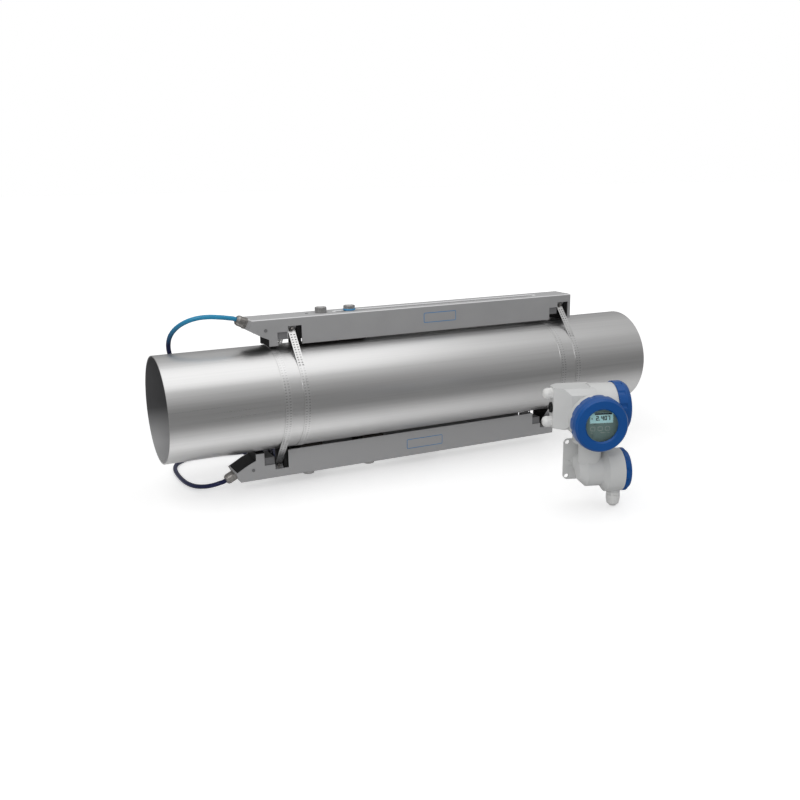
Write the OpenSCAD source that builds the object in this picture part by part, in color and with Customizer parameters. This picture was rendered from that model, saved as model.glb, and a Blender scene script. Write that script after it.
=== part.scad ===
// Clamp-on ultrasonic flow meter: a stainless pipe run with two sensor rails strapped
// to its crown and belly, and a field converter that stands beside it.
// Origin on the pipe axis at the middle of the run. X along the pipe, Z up, front at -Y.

/* [Pipe] */
// Outside diameter of the pipe run
pipe_od = 219.1; // [200:0.1:240]
// Wall of the pipe
pipe_wall = 2.6; // [2:0.1:6]
// Length of the pipe run
pipe_len = 1148; // [1100:1:1300]

/* [Rail] */
// Length of a rail without its cable gland
rail_len = 785; // [770:1:820]
// Width of a rail across the pipe
rail_w = 63; // [60:0.5:70]
// Height of a rail from its lower edge to its roof
rail_h = 56.7; // [54:0.1:60]
// Gap from the pipe's crown to the rail's lower edge
rail_gap = 2.7; // [2.2:0.1:4]
// Wall of the rail's sides
rail_wall = 2.5; // [1.5:0.1:3]
// Thickness of the rail's roof
rail_roof = 3; // [2:0.1:4]
// Distance from the pipe's middle to the upper rail's left corner
rail_left = 378; // [370:1:385]
// How far the lower rail sits to the left of the upper one
rail_shift = 41; // [38:1:44]

/* [Transducers] */
// Length of a transducer along the pipe
head_len = 52; // [46:1:54]
// Room between a transducer and each side wall of its rail
head_side = 4; // [3.5:0.5:7]
// Lift of a transducer off the pipe when its knob is slackened
head_lift = 3; // [2:0.5:3]
// Distance from the rail's left corner to the fixed knob
fixed_knob_at = 160; // [158:1:164]
// Spacing of the two knobs on the upper rail
upper_spacing = 65.5; // [62:0.5:80]
// Spacing of the two knobs on the lower rail
lower_spacing = 144.5; // [130:0.5:160]
// Diameter of a knob
knob_d = 25; // [20:0.5:28]
// Height of a knob
knob_h = 11.5; // [8:0.5:14]
// Diameter of a knob's screw
stem_d = 8; // [6:0.5:10]

/* [Straps] */
// Width of a strap
strap_w = 15; // [12:0.5:16]
// Thickness of a strap
strap_t = 0.8; // [0.6:0.1:1]
// Slope of a strap where it rises into the rail, in degrees
strap_rise = 50; // [49:0.5:51]
// Distance between the two strap stations of a rail
station_pitch = 673; // [665:1:675]

/* [Cables] */
// Diameter of a sensor cable
cable_d = 9.5; // [8:0.5:10]
// Windings in each layer of a coil
coil_turns = 3; // [2:1:3]

/* [Converter] */
// Height of the terminal compartment's axis above the floor
conv_axis_z = 205; // [204:1:208]
// Radius of the main housing's drums
drum_r = 47; // [45:0.5:48]
// Radius of the display cover
display_cover_r = 52; // [50:0.5:53]
// Radius of the terminal cover
terminal_cover_r = 50; // [48.5:0.5:51]
// Radius of the sensor cover
sensor_cover_r = 42; // [40.5:0.5:43]
// Spacing of the wall plate's holes
plate_pitch = 70; // [68:1:72]
// Diameter of the wall plate's holes
plate_hole_d = 9; // [7:0.5:10]
// Side of the wall plate
plate_side = 84; // [82:1:88]
// Thickness of the wall plate
plate_t = 5; // [4:0.5:6]

/* [Hidden] */
$fn = 64;
// Overrun of every cut
cut = 1;
// Play between pieces that move past each other
play = 0.3;
// Radial play of a screw or spigot that turns in its bore
run_play = 0.05;
// Gap under a piece that is seated on a curved face
seat = 0.1;

pipe_r = pipe_od / 2;
// Heights in the rail's own frame start at the rail's lower edge
rail_z = pipe_r + rail_gap;
rail_x = -rail_left;
rail_in_w = rail_w - 2 * rail_wall;
head_w = rail_in_w - 2 * head_side;
rail_edge_r = 1.6;

// Nose of the rail: a leaning face for the gland over a slope up from the foot
nose_out = 10;
nose_face_h = 20;
nose_slope_run = 29;
nose_slope_h = 16;
foot_left = 34;
foot_top = 14;
foot_w = 18;
nose_tip_h = rail_h - nose_face_h;
nose_low_h = nose_tip_h - nose_slope_h;
nose_lean = atan(nose_out / nose_face_h);
nose_inner = rail_wall / cos(nose_lean) - nose_out;

// Inner radius of a strap, and where its rise passes the rail's side
strap_r = pipe_r + seat;
strap_out = strap_r * sin(strap_rise) - rail_w / 2;
strap_side_h = strap_r * cos(strap_rise) + strap_out * tan(strap_rise) - rail_z;

// Strap stations: a shallow window beside a deep one
window_gap = 1;
shallow_w = 22;
shallow_h = 27.7;
deep_w = 30;
deep_room = 18.2051;
deep_h = strap_side_h + deep_room;
window_x = foot_left + foot_w + window_gap;
deep_x = window_x + shallow_w;
strap_in_window = 9;
strap_x = deep_x + strap_in_window;
end_wall_t = 5;

// Slot in the roof for the sliding knob
slot_w = 12;
slot_start = 193;
slot_end = 698;
ledge_w = 26;
ledge_t = 1;

// Strap geometry: straight rise, and its end inside the rail
strap_rise_len = 117;
slot_pitch = 6;
band_slot_w = 3.6;
band_slot_h = 2;
band_slot_off = 3.4;
band_slot_count = 13;
band_slot_start = 8;
strap_key = 1;

// Clamp block with its worm housing
clamp_gap = 0.5;
clamp_low = 12;
clamp_side = 0.5;
sleeve_start = 95;
sleeve_len = 17;
sleeve_wall = 2;
sleeve_below = 2;
sleeve_above = 10.5;
worm_d = 7.6;
worm_lift = 0.2;
worm_n = strap_t + worm_lift + worm_d / 2;
worm_head_d = 7.2;
worm_head_t = 4;
worm_tail = 1;
hex_sides = 6;
slit_w = 1.4;
slit_depth = 1.5;
bridge_t = 6;

// Saddles under the rail and the black nose cover
saddle_t = 10;
saddle_gap = 1.5;
saddle_side = 0.5;
nose_cover_t = 3;
nose_cover_gap = 0.2;
foot_pad_t = 2.5;
strap_room = 2;
lug_t = 5;
lug_high = 42;
lug_x = 19;
lug_len = 15;
nose_screw_x = 27;
nose_screw_h = 33.5;
screw_d = 4;
screw_head_d = 7;
screw_head_t = 1.2;
screw_len = 6.5;

// Holder that carries a transducer under the roof
holder_len = 40;
holder_t = 8;
holder_boss_d = 11.4;
cheek_t = 3;
cheek_drop = 18;
washer_t = 0.8;
head_low = 0.3;
head_shoulder = 22;
head_crown_len = 36;
crown_step = 3;
head_crown_w = head_w - 2 * crown_step;
stem_reach = 30;
flute_count = 18;
flute_d = 2.4;
knob_dish_d = 17;
knob_dish_t = 1;
knob_edge = 0.9;
knob_at = [fixed_knob_at, fixed_knob_at + upper_spacing];
lower_knob_at = [fixed_knob_at, fixed_knob_at + lower_spacing];

// Cable gland on the nose
gland_hex_d = 24;
gland_hex_t = 5;
gland_neck_d = 19;
gland_neck_t = 7;
gland_nut_d = 22;
gland_nut_t = 17;
gland_dome = 6;
gland_tip_d = 14;
gland_grip = 3;

// Cable ends and tubes
tube_sides = 10;
coil_sides = 6;
coil_rings = 24;
coil_layers = 4;
layer_step = cable_d + 0.5;
coil_in_r = 38;
coil_out_r = coil_in_r + coil_turns * layer_step;
floor_z = -192;
cable_floor_z = floor_z + cable_d / 2;
plug_d = 15;
plug_axis_z = floor_z + plug_d / 2;
plug_len = 34;
plug_pin_d = 9;
plug_pin_t = 8;
plug_sleeve_d = 12;
plug_sleeve_t = 8;
tail_len = 130;
tail_steps = 10;
tail_level = 0.28;

// Where each coil starts, at the back of its ring
upper_coil = [-250, 184];
lower_coil = [60, 202];

// Route of the upper cable from its gland over and behind the pipe down to its coil
upper_route = [
    [-418, 0, 173], [-436, 0, 176], [-459, 3, 178], [-481, 9, 176], [-501, 18, 169],
    [-517, 30, 157], [-527, 45, 140], [-529, 62, 119], [-524, 80, 95], [-513, 97, 68],
    [-499, 110, 39], [-483, 119, 8], [-466, 126, -24], [-448, 133, -57], [-428, 141, -90],
    [-405, 151, -122], [-378, 162, -150], [-348, 173, -171], [-316, 181, -183],
    [-285, 184, -187.25]
];

// Route of the lower cable from its gland down to the floor and back to its coil
lower_route = [
    [-459, 0, -173], [-470, 6, -177], [-484, 20, -182], [-499, 44, -186], [-509, 76, -187.25],
    [-513, 112, -187.25], [-513, 150, -187.25], [-509, 186, -187.25], [-497, 218, -187.25],
    [-474, 240, -187.25], [-442, 249, -187.25], [-405, 247, -187.25], [-360, 239, -187.25],
    [-310, 229, -187.25], [-260, 220, -187.25], [-210, 213, -187.25], [-160, 208, -187.25],
    [-110, 205, -187.25], [-60, 203, -187.25], [-10, 202, -187.25]
];

// Converter: place on the floor, heights above the floor, x to its right
conv_at = [215, -455];
conv_turn = -19;
display_x = -66;
display_drop = 12.5;
display_axis_z = conv_axis_z - display_drop;
housing_back = 42;
drum_front = 60;
box_left = 136;
box_low = 170;
box_high = 249;
box_half = 37;
box_chamfer = 11;
box_face_half = 12;
box_slope = 28;
room_face = 9;
room_slope = 24;
box_right = 60;
right_face = 18;
casting_wall = 6;
bore_r = drum_r - casting_wall;
bore_back = 34;
display_cover_t = 31;
cover_face_t = 6;
cover_skirt_t = 5;
spigot_len = 9;
window_r = 30.5;
glass_r = 33;
glass_t = 4;
glass_in = 2.5;
grip_count = 12;
grip_r = 9;
grip_depth = 1.6;
cover_round = 5;
cover_band = 16;
bevel_depth = 7;
terminal_cover_t = 25;
sensor_cover_t = 13.5;
sensor_band = 8;
seal_t = 1.2;
seal_w = 2.4;
module_r = 34.5;
module_t = 12;
module_behind = 5;
lcd_w = 44;
lcd_h = 19;
lcd_t = 1.6;
lcd_z = 12;
lcd_x = 2;
key_d = 5;
key_t = 0.8;
key_pitch = 12;
key_drop = 17;
board_r = 34;
board_t = 3;
board_pitch = 16;
board_count = 4;
post_d = 6;
post_ring = 30;
board_top = -bore_back + seat + board_count * board_pitch + cut;
block_w = 40;
block_h = 26;
block_t = 16;
block_teeth = 6;
carrier_t = 2.5;
tooth_w = 4;

neck_x = -57;
neck_r = 22;
neck_flange_r = 34;
neck_flange_t = 7;
neck_top = 144;
neck_pad = 17;
wire_r = 11;
low_axis_z = 77.5;
low_r = 30;
low_left = 80;
low_tip_r = 17;
low_cone = 66;
low_bore_left = 61;
low_right = 36;
collar_r = 42;
collar_left = 28;
collar_right = 3.5;
low_wall = 5;
gland_x = -6;
low_entry_d = 11;
low_boss_r = 15;
low_boss_z = 33;
low_boss_back = 1;
rear_boss_r = 22;
bracket_pad_t = 7;
plate_gap = 1;
rear_boss_y = collar_r + plate_gap - bracket_pad_t;
bracket_pad_r = 21;
bracket_x = -53;
bracket_z = 88.5;
plate_round = 9;
rib_t = 8;
bracket_screw_pitch = 24;
bracket_screw_d = 6;
bracket_head_d = 10;
bracket_head_t = 3.5;
bracket_screw_in = 8;

entry_z = [236, 181];
plug_z = 208.5;
entry_d = 18;
entry_hex_d = 22;
entry_hex_t = 4;
entry_neck_d = 16;
entry_neck_t = 7;
entry_nut_d = 21;
entry_nut_t = 13;
entry_dome = 7;
entry_tip_d = 10;
bottom_hex_d = 28;
bottom_hex_t = 6;
bottom_neck_d = 21;
bottom_neck_t = 9;
bottom_nut_d = 27;
bottom_nut_t = 23;
bottom_dome = 15;
bottom_tip_d = 12;
blind_d = 20;
blind_t = 3;
blind_key_d = 8;
blind_key_t = 2;

// Shared shapes

// A block with its length, width and height centred on X and Y and standing on Z
module slab(len, wide, high) {
    translate([-len / 2, -wide / 2, 0]) cube([len, wide, high]);
}

// A bar along +X from the origin
module bar_x(d, len) {
    rotate([0, 90, 0]) cylinder(d = d, h = len);
}

// Turns the Z axis onto +X and keeps Y
module along_x() {
    rotate([0, 90, 0]) children();
}

// Puts the upper rail's frame at its left corner on the rail's lower edge
module at_upper_rail() {
    translate([rail_x, 0, rail_z]) children();
}

// The lower rail is the upper one mirrored under the pipe and set to the left
module at_lower_rail() {
    translate([-rail_shift, 0, 0]) mirror([0, 0, 1]) at_upper_rail() children();
}

// A closed dome nut that stands on Z, with a bore
module dome_nut(d, high, dome, tip_d, bore_d, grips) {
    difference() {
        rotate_extrude() {
            polygon([
                [0, 0], [d / 2, 0], [d / 2, high - dome],
                [(d + tip_d) / 4 + dome / 8, high - dome / 3], [tip_d / 2, high], [0, high]
            ]);
        }
        translate([0, 0, -cut]) cylinder(d = bore_d, h = high + 2 * cut);
        for (i = [0 : grips - 1]) {
            rotate([0, 0, i * 360 / grips])
                translate([d / 2 + gland_grip / 4, 0, -cut])
                    cylinder(d = gland_grip, h = high - dome, $fn = 16);
        }
    }
}

// Pipe

module pipe() {
    color("silver")
        translate([-pipe_len / 2, 0, 0])
            along_x()
                difference() {
                    cylinder(r = pipe_r, h = pipe_len, $fn = 128);
                    translate([0, 0, -cut])
                        cylinder(r = pipe_r - pipe_wall, h = pipe_len + 2 * cut, $fn = 128);
                }
}

// Rail

// Side outline of a rail, from its left corner and its lower edge
module rail_outline() {
    second = window_x + station_pitch;
    polygon([
        [0, rail_h], [-nose_out, nose_tip_h], [nose_slope_run - nose_out, nose_low_h],
        [foot_left, foot_top], [foot_left, 0], [window_x - window_gap, 0],
        [window_x - window_gap, shallow_h], [deep_x, shallow_h], [deep_x, deep_h],
        [deep_x + deep_w, deep_h], [deep_x + deep_w, 0],
        [second - window_gap, 0], [second - window_gap, shallow_h],
        [second + shallow_w, shallow_h], [second + shallow_w, deep_h],
        [second + shallow_w + deep_w, deep_h], [second + shallow_w + deep_w, 0],
        [rail_len, 0], [rail_len, rail_h]
    ]);
}

// The room inside a rail, open towards the pipe
module rail_room() {
    lean_t = rail_wall / cos(nose_lean);
    polygon([
        [lean_t - rail_roof * tan(nose_lean), rail_h - rail_roof],
        [lean_t - nose_out, nose_tip_h],
        [lean_t - nose_out, -cut], [rail_len + cut, -cut],
        [rail_len + cut, rail_h - rail_roof]
    ]);
}

module rail_shell() {
    difference() {
        intersection() {
            rotate([90, 0, 0])
                translate([0, 0, -rail_w / 2])
                    linear_extrude(rail_w) rail_outline();
            translate([-2 * nose_out, 0, 0])
                rotate([90, 0, 90])
                    linear_extrude(rail_len + 3 * nose_out) rail_section();
        }
        rotate([90, 0, 0])
            translate([0, 0, -rail_in_w / 2])
                linear_extrude(rail_in_w) rail_room();
        // Slot for the sliding knob, with its sunk ledge
        translate([(slot_start + slot_end) / 2, 0, rail_h - rail_roof - cut])
            slot_shape(slot_end - slot_start, slot_w, rail_roof + 2 * cut);
        translate([(slot_start + slot_end) / 2, 0, rail_h - ledge_t])
            slot_shape(slot_end - slot_start + ledge_w - slot_w, ledge_w, ledge_t + cut);
        // Hole for the fixed knob
        translate([fixed_knob_at, 0, rail_h - rail_roof - cut])
            cylinder(d = slot_w, h = rail_roof + 2 * cut);
        // Hole for the cable gland in the leaning face
        at_nose_face()
            translate([0, 0, -2 * rail_wall])
                cylinder(d = gland_neck_d - 2 * rail_wall, h = 3 * rail_wall);
        // Holes for the nose screws
        translate([nose_screw_x, rail_w / 2 + cut, nose_screw_h])
            rotate([90, 0, 0]) cylinder(d = screw_d + 2 * seat, h = rail_w + 2 * cut, $fn = 24);
    }
}

// Section across a rail, with its two upper edges eased
module rail_section() {
    half = rail_w / 2;
    union() {
        translate([-half, -cut]) square([rail_w, rail_h - rail_edge_r + cut]);
        translate([-half + rail_edge_r, 0]) square([rail_w - 2 * rail_edge_r, rail_h]);
        for (side = [-1, 1]) {
            translate([side * (half - rail_edge_r), rail_h - rail_edge_r]) circle(r = rail_edge_r, $fn = 32);
        }
    }
}

// A straight slot with round ends, centred on X and Y
module slot_shape(len, wide, high) {
    slab(len - wide, wide, high);
    for (side = [-1, 1]) {
        translate([side * (len - wide) / 2, 0, 0]) cylinder(d = wide, h = high, $fn = 32);
    }
}

// Frame on the middle of the nose's leaning face, Z out along the gland
module at_nose_face() {
    translate([-nose_out / 2, 0, rail_h - nose_face_h / 2])
        rotate([0, nose_lean - 90, 0]) children();
}

module rail_end_cap() {
    low = rail_gap;
    translate([rail_len - end_wall_t, -rail_in_w / 2 + seat, low])
        cube([end_wall_t, rail_in_w - 2 * seat, rail_h - rail_roof - low]);
}

module rail_nose_cover() {
    half = rail_in_w / 2 - nose_cover_gap;
    difference() {
        union() {
            rotate([90, 0, 0])
                translate([0, 0, -half])
                    linear_extrude(2 * half)
                        polygon([
                            [nose_inner + nose_cover_gap, nose_tip_h - nose_cover_t / 2],
                            [nose_slope_run - nose_out, nose_low_h],
                            [foot_left, foot_top],
                            [foot_left, 0], [foot_left + nose_cover_t, 0],
                            [foot_left + nose_cover_t, foot_top + nose_cover_t],
                            [nose_slope_run - nose_out, nose_low_h + nose_cover_t],
                            [
                                nose_inner + nose_cover_gap + nose_cover_t * nose_out / nose_face_h,
                                nose_tip_h + nose_cover_t
                            ]
                        ]);
            // Pad under the foot
            translate([foot_left, -rail_w / 2, -foot_pad_t])
                cube([foot_w, rail_w, foot_pad_t]);
            // Lugs for the nose screws
            for (side = [-1, 1]) {
                translate([lug_x, side * (half - lug_t / 2) - lug_t / 2, nose_low_h - nose_cover_t / 3])
                    cube([lug_len, lug_t, lug_high - nose_low_h]);
            }
        }
        // Room for the pipe and for a strap that passes under the foot
        translate([-nose_out, 0, -rail_z])
            along_x() cylinder(r = strap_r + strap_room, h = foot_left + foot_w + 2 * nose_out, $fn = 128);
        translate([nose_screw_x, rail_w / 2, nose_screw_h])
            rotate([90, 0, 0]) cylinder(d = screw_d + 2 * seat, h = rail_w, $fn = 24);
    }
}

// Both saddles of a rail, cut to the pipe's round
module rail_saddles() {
    half = rail_in_w / 2 - saddle_side;
    for (x = [deep_x + deep_w - saddle_t, deep_x + deep_w - saddle_t + station_pitch]) {
        difference() {
            translate([x, -half, -pipe_r / 8])
                cube([saddle_t - saddle_gap, 2 * half, rail_h - rail_roof + pipe_r / 8]);
            translate([x - cut, 0, -rail_z])
                along_x() cylinder(r = pipe_r + seat, h = saddle_t + 2 * cut, $fn = 128);
        }
    }
}

// Straps

// Frame at a strap's front tangent point in the rail's frame: Y up the strap, Z outwards
module at_strap(side) {
    translate([0, 0, -rail_z])
        mirror([0, side < 0 ? 0 : 1, 0])
            rotate([strap_rise, 0, 0])
                translate([0, 0, strap_r]) children();
}

// The straight rise of a strap, punched for the worm
module strap_rise_band() {
    translate([-strap_w / 2, 0, 0])
        linear_extrude(strap_t)
            difference() {
                square([strap_w, strap_rise_len]);
                for (i = [0 : band_slot_count - 1], side = [-1, 1]) {
                    translate([
                        strap_w / 2 + side * band_slot_off - band_slot_w / 2,
                        band_slot_start + i * slot_pitch
                    ])
                        square([band_slot_w, band_slot_h]);
                }
            }
}

module strap_band() {
    for (side = [-1, 1]) {
        at_strap(side) strap_rise_band();
        // A key inside the band joins its straight and its round part
        at_strap(side)
            translate([-strap_w / 2 + cut, -strap_key / 2, strap_t / 4])
                cube([strap_w - 2 * cut, strap_key, strap_t / 2]);
    }
    translate([-strap_w / 2, 0, -rail_z])
        along_x()
            rotate([0, 0, strap_rise - 180])
                rotate_extrude(angle = 360 - 2 * strap_rise, $fn = 128)
                    translate([strap_r, 0]) square([strap_t, strap_w]);
}

module rail_straps() {
    for (x = [strap_x, strap_x + station_pitch]) {
        translate([x, 0, 0]) strap_band();
    }
}

// One clamp block: a body beside the strap with a sleeve round each end of it
module clamp_block() {
    half = rail_in_w / 2 - clamp_side;
    body_right = -strap_w / 2 - sleeve_wall + clamp_gap;
    body_left = -strap_in_window - shallow_w + clamp_gap;
    sleeve_w = strap_w + 2 * sleeve_wall;
    difference() {
        union() {
            translate([body_left, -half, clamp_low])
                cube([body_right - body_left, 2 * half, rail_h - rail_roof - clamp_low]);
            intersection() {
                union() {
                    for (side = [-1, 1]) {
                        at_strap(side)
                            translate([-sleeve_w / 2, sleeve_start, -sleeve_below])
                                cube([sleeve_w, sleeve_len, sleeve_below + sleeve_above]);
                    }
                    translate([-sleeve_w / 2, -half, rail_h - rail_roof - bridge_t])
                        cube([sleeve_w, 2 * half, bridge_t]);
                }
                translate([-sleeve_w / 2, -half, 0])
                    cube([sleeve_w, 2 * half, rail_h - rail_roof]);
            }
        }
        // Room for the two ends of the strap
        for (side = [-1, 1]) {
            at_strap(side)
                translate([-strap_w / 2 - play, 0, -play])
                    cube([strap_w + 2 * play, strap_rise_len + play, strap_t + 2 * play]);
        }
        // Bore of the worm
        at_strap(-1)
            translate([0, sleeve_start - sleeve_len, worm_n])
                rotate([-90, 0, 0])
                    cylinder(d = worm_d + 2 * run_play, h = 3 * sleeve_len);
    }
}

module rail_clamp_blocks() {
    for (x = [strap_x, strap_x + station_pitch]) {
        translate([x, 0, 0]) clamp_block();
    }
}

module strap_screw(x) {
    translate([x, 0, 0])
        at_strap(-1)
            translate([0, sleeve_start - play, worm_n])
                rotate([-90, 0, 0])
                    difference() {
                        union() {
                            cylinder(d = worm_d, h = sleeve_len - worm_tail, $fn = 32);
                            translate([0, 0, -worm_head_t])
                                cylinder(d = worm_head_d, h = worm_head_t, $fn = hex_sides);
                        }
                        translate([0, 0, -worm_head_t])
                            slab(slit_w, 2 * worm_head_d, slit_depth);
                    }
}

// Transducers

// The fixed one is seated under the roof, the sliding one runs below it with some play
module holder(at, gap, sink) {
    half = rail_in_w / 2 - play;
    translate([at, 0, 0])
        difference() {
            union() {
                translate([0, 0, rail_h - rail_roof - play - holder_t])
                    slab(holder_len, 2 * half, holder_t + play - gap);
                for (side = [-1, 1]) {
                    translate([
                        0,
                        side * (half - cheek_t / 2),
                        rail_h - rail_roof - play - holder_t - cheek_drop
                    ])
                        slab(holder_len, cheek_t, cheek_drop + cut);
                }
                translate([0, 0, rail_h - rail_roof - play - cut])
                    cylinder(d = holder_boss_d, h = rail_roof - sink + play + cut, $fn = 48);
            }
            translate([0, 0, rail_h - rail_roof - play - holder_t - cut])
                cylinder(d = stem_d + 2 * run_play, h = holder_t + rail_roof + 2 * cut);
        }
}

module transducer(at) {
    top = rail_h - rail_roof - 2 * play - holder_t - head_lift;
    low = head_low - rail_gap;
    translate([at, 0, 0])
        difference() {
            union() {
                rotate([90, 0, 0])
                    translate([0, 0, -head_w / 2])
                        linear_extrude(head_w)
                            polygon([
                                [-head_len / 2, low], [head_len / 2, low],
                                [head_len / 2, head_shoulder],
                                [head_crown_len / 2, head_shoulder + (head_len - head_crown_len) / 2],
                                [-head_crown_len / 2, head_shoulder + (head_len - head_crown_len) / 2],
                                [-head_len / 2, head_shoulder]
                            ]);
                slab(head_crown_len, head_crown_w, top);
            }
            translate([0, 0, top - stem_reach - head_lift - play])
                cylinder(d = stem_d + 2 * run_play, h = rail_h);
        }
}

// The sliding knob stands in the slot's sunk ledge, the fixed one on the roof
module knob(at, sink) {
    low = rail_h - sink + play;
    stem_top = low + cut;
    stem_len = stem_top - (rail_h - rail_roof - 2 * play - holder_t - head_lift) + stem_reach;
    translate([at, 0, 0]) {
        difference() {
            union() {
                translate([0, 0, low])
                    rotate_extrude()
                        polygon([
                            [0, 0], [knob_d / 2 - knob_edge, 0], [knob_d / 2, knob_edge],
                            [knob_d / 2, knob_h - knob_edge], [knob_d / 2 - knob_edge, knob_h],
                            [knob_dish_d / 2, knob_h], [knob_dish_d / 2 - knob_dish_t, knob_h - knob_dish_t],
                            [0, knob_h - knob_dish_t]
                        ]);
                translate([0, 0, stem_top - stem_len]) cylinder(d = stem_d, h = stem_len);
            }
            for (i = [0 : flute_count - 1]) {
                rotate([0, 0, i * 360 / flute_count])
                    translate([knob_d / 2 + flute_d / 4, 0, low + washer_t + knob_edge])
                        cylinder(d = flute_d, h = knob_h, $fn = 16);
            }
        }
    }
}

// Cable gland

module nose_gland_body() {
    at_nose_face()
        difference() {
            union() {
                cylinder(d = gland_hex_d, h = gland_hex_t, $fn = hex_sides);
                cylinder(d = gland_neck_d - 2 * play, h = gland_hex_t + gland_neck_t);
                translate([0, 0, -rail_wall])
                    cylinder(d = gland_neck_d - 2 * rail_wall - 2 * seat, h = 2 * rail_wall);
            }
            translate([0, 0, -2 * rail_wall])
                cylinder(d = cable_d - 2, h = gland_hex_t + gland_neck_t + 3 * rail_wall);
        }
}

module nose_gland_nut() {
    at_nose_face()
        translate([0, 0, gland_hex_t + play])
            difference() {
                dome_nut(gland_nut_d, gland_nut_t, gland_dome, gland_tip_d, cable_d + 2 * play, 10);
                translate([0, 0, -cut])
                    cylinder(d = gland_neck_d - 2 * play + 2 * run_play, h = gland_neck_t + cut);
            }
}

module rail_screws() {
    for (side = [-1, 1]) {
        translate([nose_screw_x, side * rail_w / 2, nose_screw_h])
            rotate([side * 90, 0, 0]) {
                translate([0, 0, -screw_head_t])
                    cylinder(d = screw_head_d, h = screw_head_t, $fn = 32);
                cylinder(d = screw_d, h = screw_len, $fn = 24);
            }
    }
}

// Cables

function unit(v) = v / norm(v);

// Direction of a route at point i, halfway between its two runs
function heading(pts, i) =
    i == 0 ? unit(pts[1] - pts[0])
    : i == len(pts) - 1 ? unit(pts[i] - pts[i - 1])
    : unit(unit(pts[i + 1] - pts[i]) + unit(pts[i] - pts[i - 1]));

// Ring of points round a route point, square to its direction
function ring(c, dir, r, sides) =
    let (
        side_dir = unit(cross(dir, [0, 0, 1])),
        up_dir = cross(side_dir, dir)
    )
    [for (k = [0 : sides - 1])
        c + r * (cos(k * 360 / sides) * side_dir + sin(k * 360 / sides) * up_dir)];

// A closed tube through a list of points
module tube(pts, r, sides) {
    n = len(pts);
    rings = [for (i = [0 : n - 1]) each ring(pts[i], heading(pts, i), r, sides)];
    skin = [
        for (i = [0 : n - 2], k = [0 : sides - 1])
            let (a = i * sides + k, b = i * sides + (k + 1) % sides)
            each [[a, a + sides, b], [b, a + sides, b + sides]]
    ];
    first = [for (k = [1 : sides - 2]) [0, k, k + 1]];
    last = [for (k = [1 : sides - 2]) [(n - 1) * sides, (n - 1) * sides + k + 1, (n - 1) * sides + k]];
    polyhedron(points = rings, faces = concat(skin, first, last));
}

// Smooth points between two route points, by a cubic through the neighbours
function bend(a, b, c, d, t) =
    0.5 * ((2 * b) + (c - a) * t + (2 * a - 5 * b + 4 * c - d) * t * t
    + (3 * b - a - 3 * c + d) * t * t * t);

function smooth(pts) = [
    for (i = [0 : len(pts) - 2], t = [0, 0.5])
        bend(pts[max(i - 1, 0)], pts[i], pts[i + 1], pts[min(i + 2, len(pts) - 1)], t),
    pts[len(pts) - 1]
];

function run_length(pts, i = 1) =
    i >= len(pts) ? 0 : norm(pts[i] - pts[i - 1]) + run_length(pts, i + 1);

// Where a cable leaves its gland, in the upper rail's place
nose_axis = [-cos(nose_lean), 0, sin(nose_lean)];
upper_exit = [rail_x - nose_out / 2, 0, rail_z + rail_h - nose_face_h / 2]
    + (gland_hex_t + gland_neck_t) * nose_axis;
lower_exit = [upper_exit[0] - rail_shift, 0, -upper_exit[2]];

// A coil winds from its outside inwards and out again, once for each pair of layers
coil_total = coil_turns * coil_layers;

// Distance in turns from the nearest reversal at the coil's inside
function inner_dist(t) = let (u = t % (2 * coil_turns)) abs(u - coil_turns);

// Height in layers, which rises in the half turn at each reversal
function layer_at(t, k = 1) =
    k >= coil_layers ? 0
    : max(0, min(1, (t - k * coil_turns + 0.25) / 0.5)) + layer_at(t, k + 1);

function coil_point(start, t) =
    let (
        r = coil_in_r + layer_step * inner_dist(t),
        a = 90 - 360 * t
    )
    [start[0] + r * cos(a), start[1] - coil_out_r + r * sin(a),
        cable_floor_z + layer_step * layer_at(t)];

// The tail leaves the top layer straight and eases down to the plug on the floor
function tail_point(start, s) =
    let (
        u = max(0, (s - tail_level) / (1 - tail_level)),
        drop = u * u * (3 - 2 * u),
        top = cable_floor_z + layer_step * (coil_layers - 1)
    )
    [start[0] + cable_d + tail_len * s, start[1], top + (plug_axis_z - top) * drop];

function coil_path(start) = concat(
    [[start[0] - cable_d, start[1], cable_floor_z]],
    [for (i = [0 : coil_total * coil_rings]) coil_point(start, i / coil_rings)],
    [for (i = [0 : tail_steps]) tail_point(start, i / tail_steps)],
    [[start[0] + 2 * cable_d + tail_len, start[1], plug_axis_z]]
);

// Least gap of a coil to itself, between points more than half a turn apart
function coil_gap(pts) = min([
    for (i = [0 : 4 : len(pts) - 1])
        min([for (j = [i + coil_rings / 2 : 1 : len(pts) - 1]) norm(pts[i] - pts[j]), 1000])
]) - cable_d;

upper_run = smooth(concat(
    [upper_exit, upper_exit + 1.5 * cable_d * nose_axis], upper_route,
    [[upper_coil[0] - 2 * cable_d, upper_coil[1], cable_floor_z],
     [upper_coil[0] - cable_d, upper_coil[1], cable_floor_z]]
));
lower_axis = [nose_axis[0], 0, -nose_axis[2]];
lower_run = smooth(concat(
    [lower_exit, lower_exit + 1.5 * cable_d * lower_axis], lower_route,
    [[lower_coil[0] - 2 * cable_d, lower_coil[1], cable_floor_z],
     [lower_coil[0] - cable_d, lower_coil[1], cable_floor_z]]
));

module cable_plug(start) {
    translate([start[0] + 2 * cable_d + tail_len, start[1], plug_axis_z])
        along_x() {
            cylinder(d = plug_sleeve_d, h = plug_sleeve_t);
            translate([0, 0, plug_sleeve_t]) cylinder(d = plug_d, h = plug_len - plug_sleeve_t);
            translate([0, 0, plug_len]) cylinder(d = plug_pin_d, h = plug_pin_t);
        }
}

// Converter

module at_converter() {
    translate([conv_at[0], conv_at[1], floor_z]) rotate([0, 0, conv_turn]) children();
}

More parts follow.
